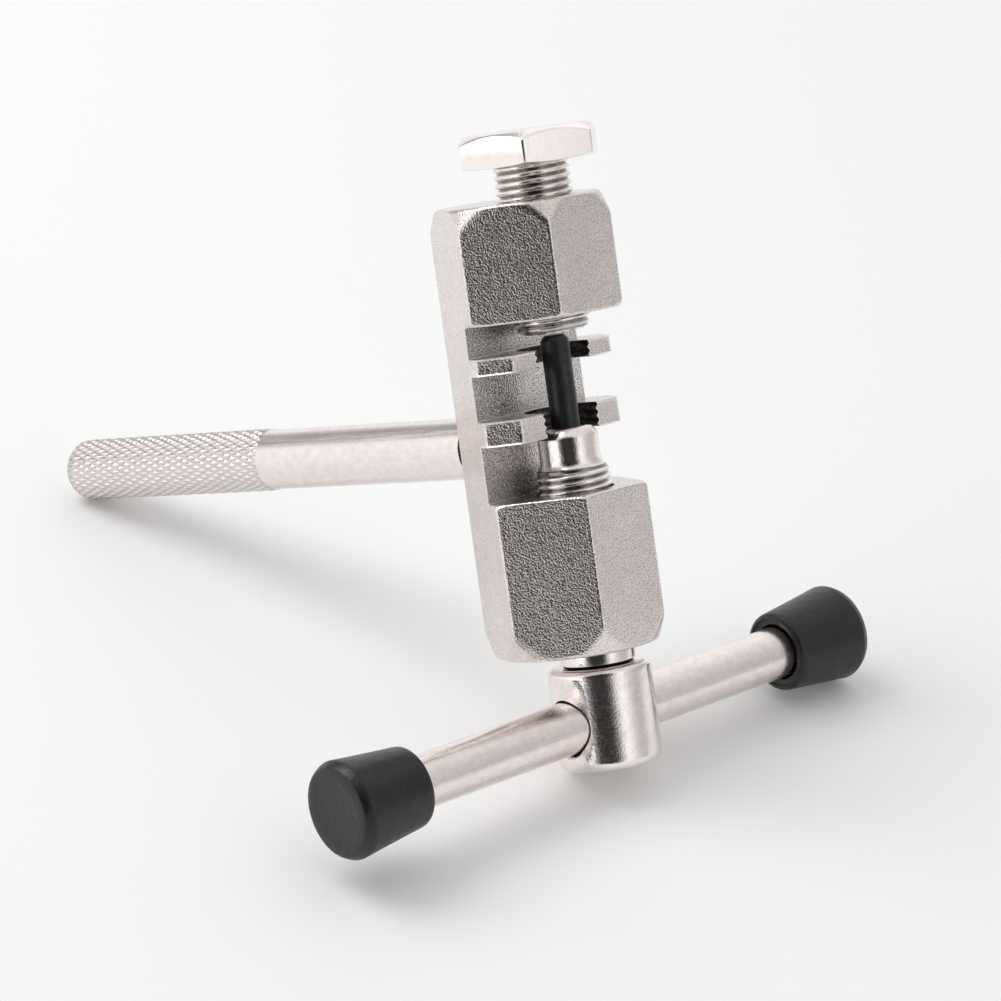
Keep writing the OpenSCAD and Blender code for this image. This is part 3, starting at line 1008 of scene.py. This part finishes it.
CAM_AZIMUTH, CAM_ELEVATION, CAM_ROLL = math.radians(-53.07), math.radians(29.71), math.radians(3.30)
CAM_DISTANCE, CAM_LENS = 0.5753, 160.54
AIM = Vector((0.02399, 0.00111, 0.03299))
back = Vector((math.cos(CAM_ELEVATION) * math.cos(CAM_AZIMUTH),
               math.cos(CAM_ELEVATION) * math.sin(CAM_AZIMUTH), math.sin(CAM_ELEVATION)))
right0 = Vector((0, 0, 1)).cross(back).normalized()
up0 = back.cross(right0)
right = math.cos(CAM_ROLL) * right0 + math.sin(CAM_ROLL) * up0
up = -math.sin(CAM_ROLL) * right0 + math.cos(CAM_ROLL) * up0
cam_data = bpy.data.cameras.new("camera")
cam_data.lens = CAM_LENS
cam_data.sensor_width = 36
cam_data.clip_start, cam_data.clip_end = 0.01, 100
cam = bpy.data.objects.new("camera", cam_data)
cam.matrix_world = (Matrix.Translation(AIM + back * CAM_DISTANCE)
                    @ Matrix((right, up, back)).transposed().to_4x4())
scene.collection.objects.link(cam)
scene.camera = cam


def soft_box(name, direction, distance, size, power, target=AIM):
    """A square light looking at the tool from a direction."""
    data = bpy.data.lights.new(name, "AREA")
    data.shape = "SQUARE"
    data.size = size
    data.energy = power
    obj = bpy.data.objects.new(name, data)
    d = Vector(direction).normalized()
    obj.location = target + d * distance
    obj.rotation_euler = d.to_track_quat("Z", "Y").to_euler()
    scene.collection.objects.link(obj)
    return obj


key_dir = -0.75 * right0 + 0.25 * Vector((-back.x, -back.y, 0)).normalized() + 0.95 * Vector((0, 0, 1))
soft_box("key", key_dir, 0.9, 0.6, 3.2)


def make_world():
    """A bright room: dark round the direction the picture is taken from, dimmer overhead and on
    the right, with one brighter patch on the left."""
    world = bpy.data.worlds.new("studio")
    scene.world = world
    world.use_nodes = True
    tree = world.node_tree
    tree.nodes.clear()

    def add(kind):
        return tree.nodes.new(kind)
    coord = add("ShaderNodeTexCoord")

    def lobe(direction, outer, inner, low):
        """Goes from 1 outside the outer angle to low inside the inner one."""
        dot = add("ShaderNodeVectorMath")
        dot.operation = "DOT_PRODUCT"
        dot.inputs[1].default_value = Vector(direction).normalized()
        tree.links.new(coord.outputs["Generated"], dot.inputs[0])
        ramp = add("ShaderNodeMapRange")
        ramp.interpolation_type = "SMOOTHSTEP"
        ends = [math.cos(math.radians(angle)) for angle in (outer, inner)]
        for i, v in zip((1, 2, 3, 4), (*ends, 1.0, low)):
            ramp.inputs[i].default_value = v
        tree.links.new(dot.outputs["Value"], ramp.inputs[0])
        return ramp.outputs[0]

    def times(a, b):
        n = add("ShaderNodeMath")
        n.operation = "MULTIPLY"
        for v, sock in ((a, n.inputs[0]), (b, n.inputs[1])):
            if isinstance(v, bpy.types.NodeSocket):
                tree.links.new(v, sock)
            else:
                sock.default_value = v
        return n.outputs[0]
    flat_back = Vector((back.x, back.y, 0)).normalized()
    glow = times(lobe(back - 0.10 * right0, 46, 21, 0.03), lobe((0, 0, 1), 60, 20, 0.75))
    glow = times(glow, lobe(right0 - 0.25 * flat_back, 60, 20, 0.51))
    glow = times(glow, lobe(-0.70 * right0 - 0.72 * flat_back + Vector((0, 0, 0.5)), 32, 10, 0.3))
    glow = times(glow, lobe(-0.84 * right0 + 0.54 * flat_back + Vector((0, 0, 0.08)), 22, 10, 1.65))
    glow = times(glow, 1.05)
    paths = add("ShaderNodeLightPath")
    mix = add("ShaderNodeMix")
    tree.links.new(paths.outputs["Is Camera Ray"], mix.inputs[0])
    tree.links.new(glow, mix.inputs[2])
    mix.inputs[3].default_value = 0.71
    shade = add("ShaderNodeBackground")
    shade.inputs[0].default_value = rgb(1, 1, 1)
    tree.links.new(mix.outputs[0], shade.inputs[1])
    out = add("ShaderNodeOutputWorld")
    tree.links.new(shade.outputs[0], out.inputs[0])


make_world()
scene.view_settings.view_transform = "Standard"
scene.view_settings.look = "None"
scene.view_settings.exposure = 0.0
scene.view_settings.gamma = 1.0

bpy.context.view_layer.update()
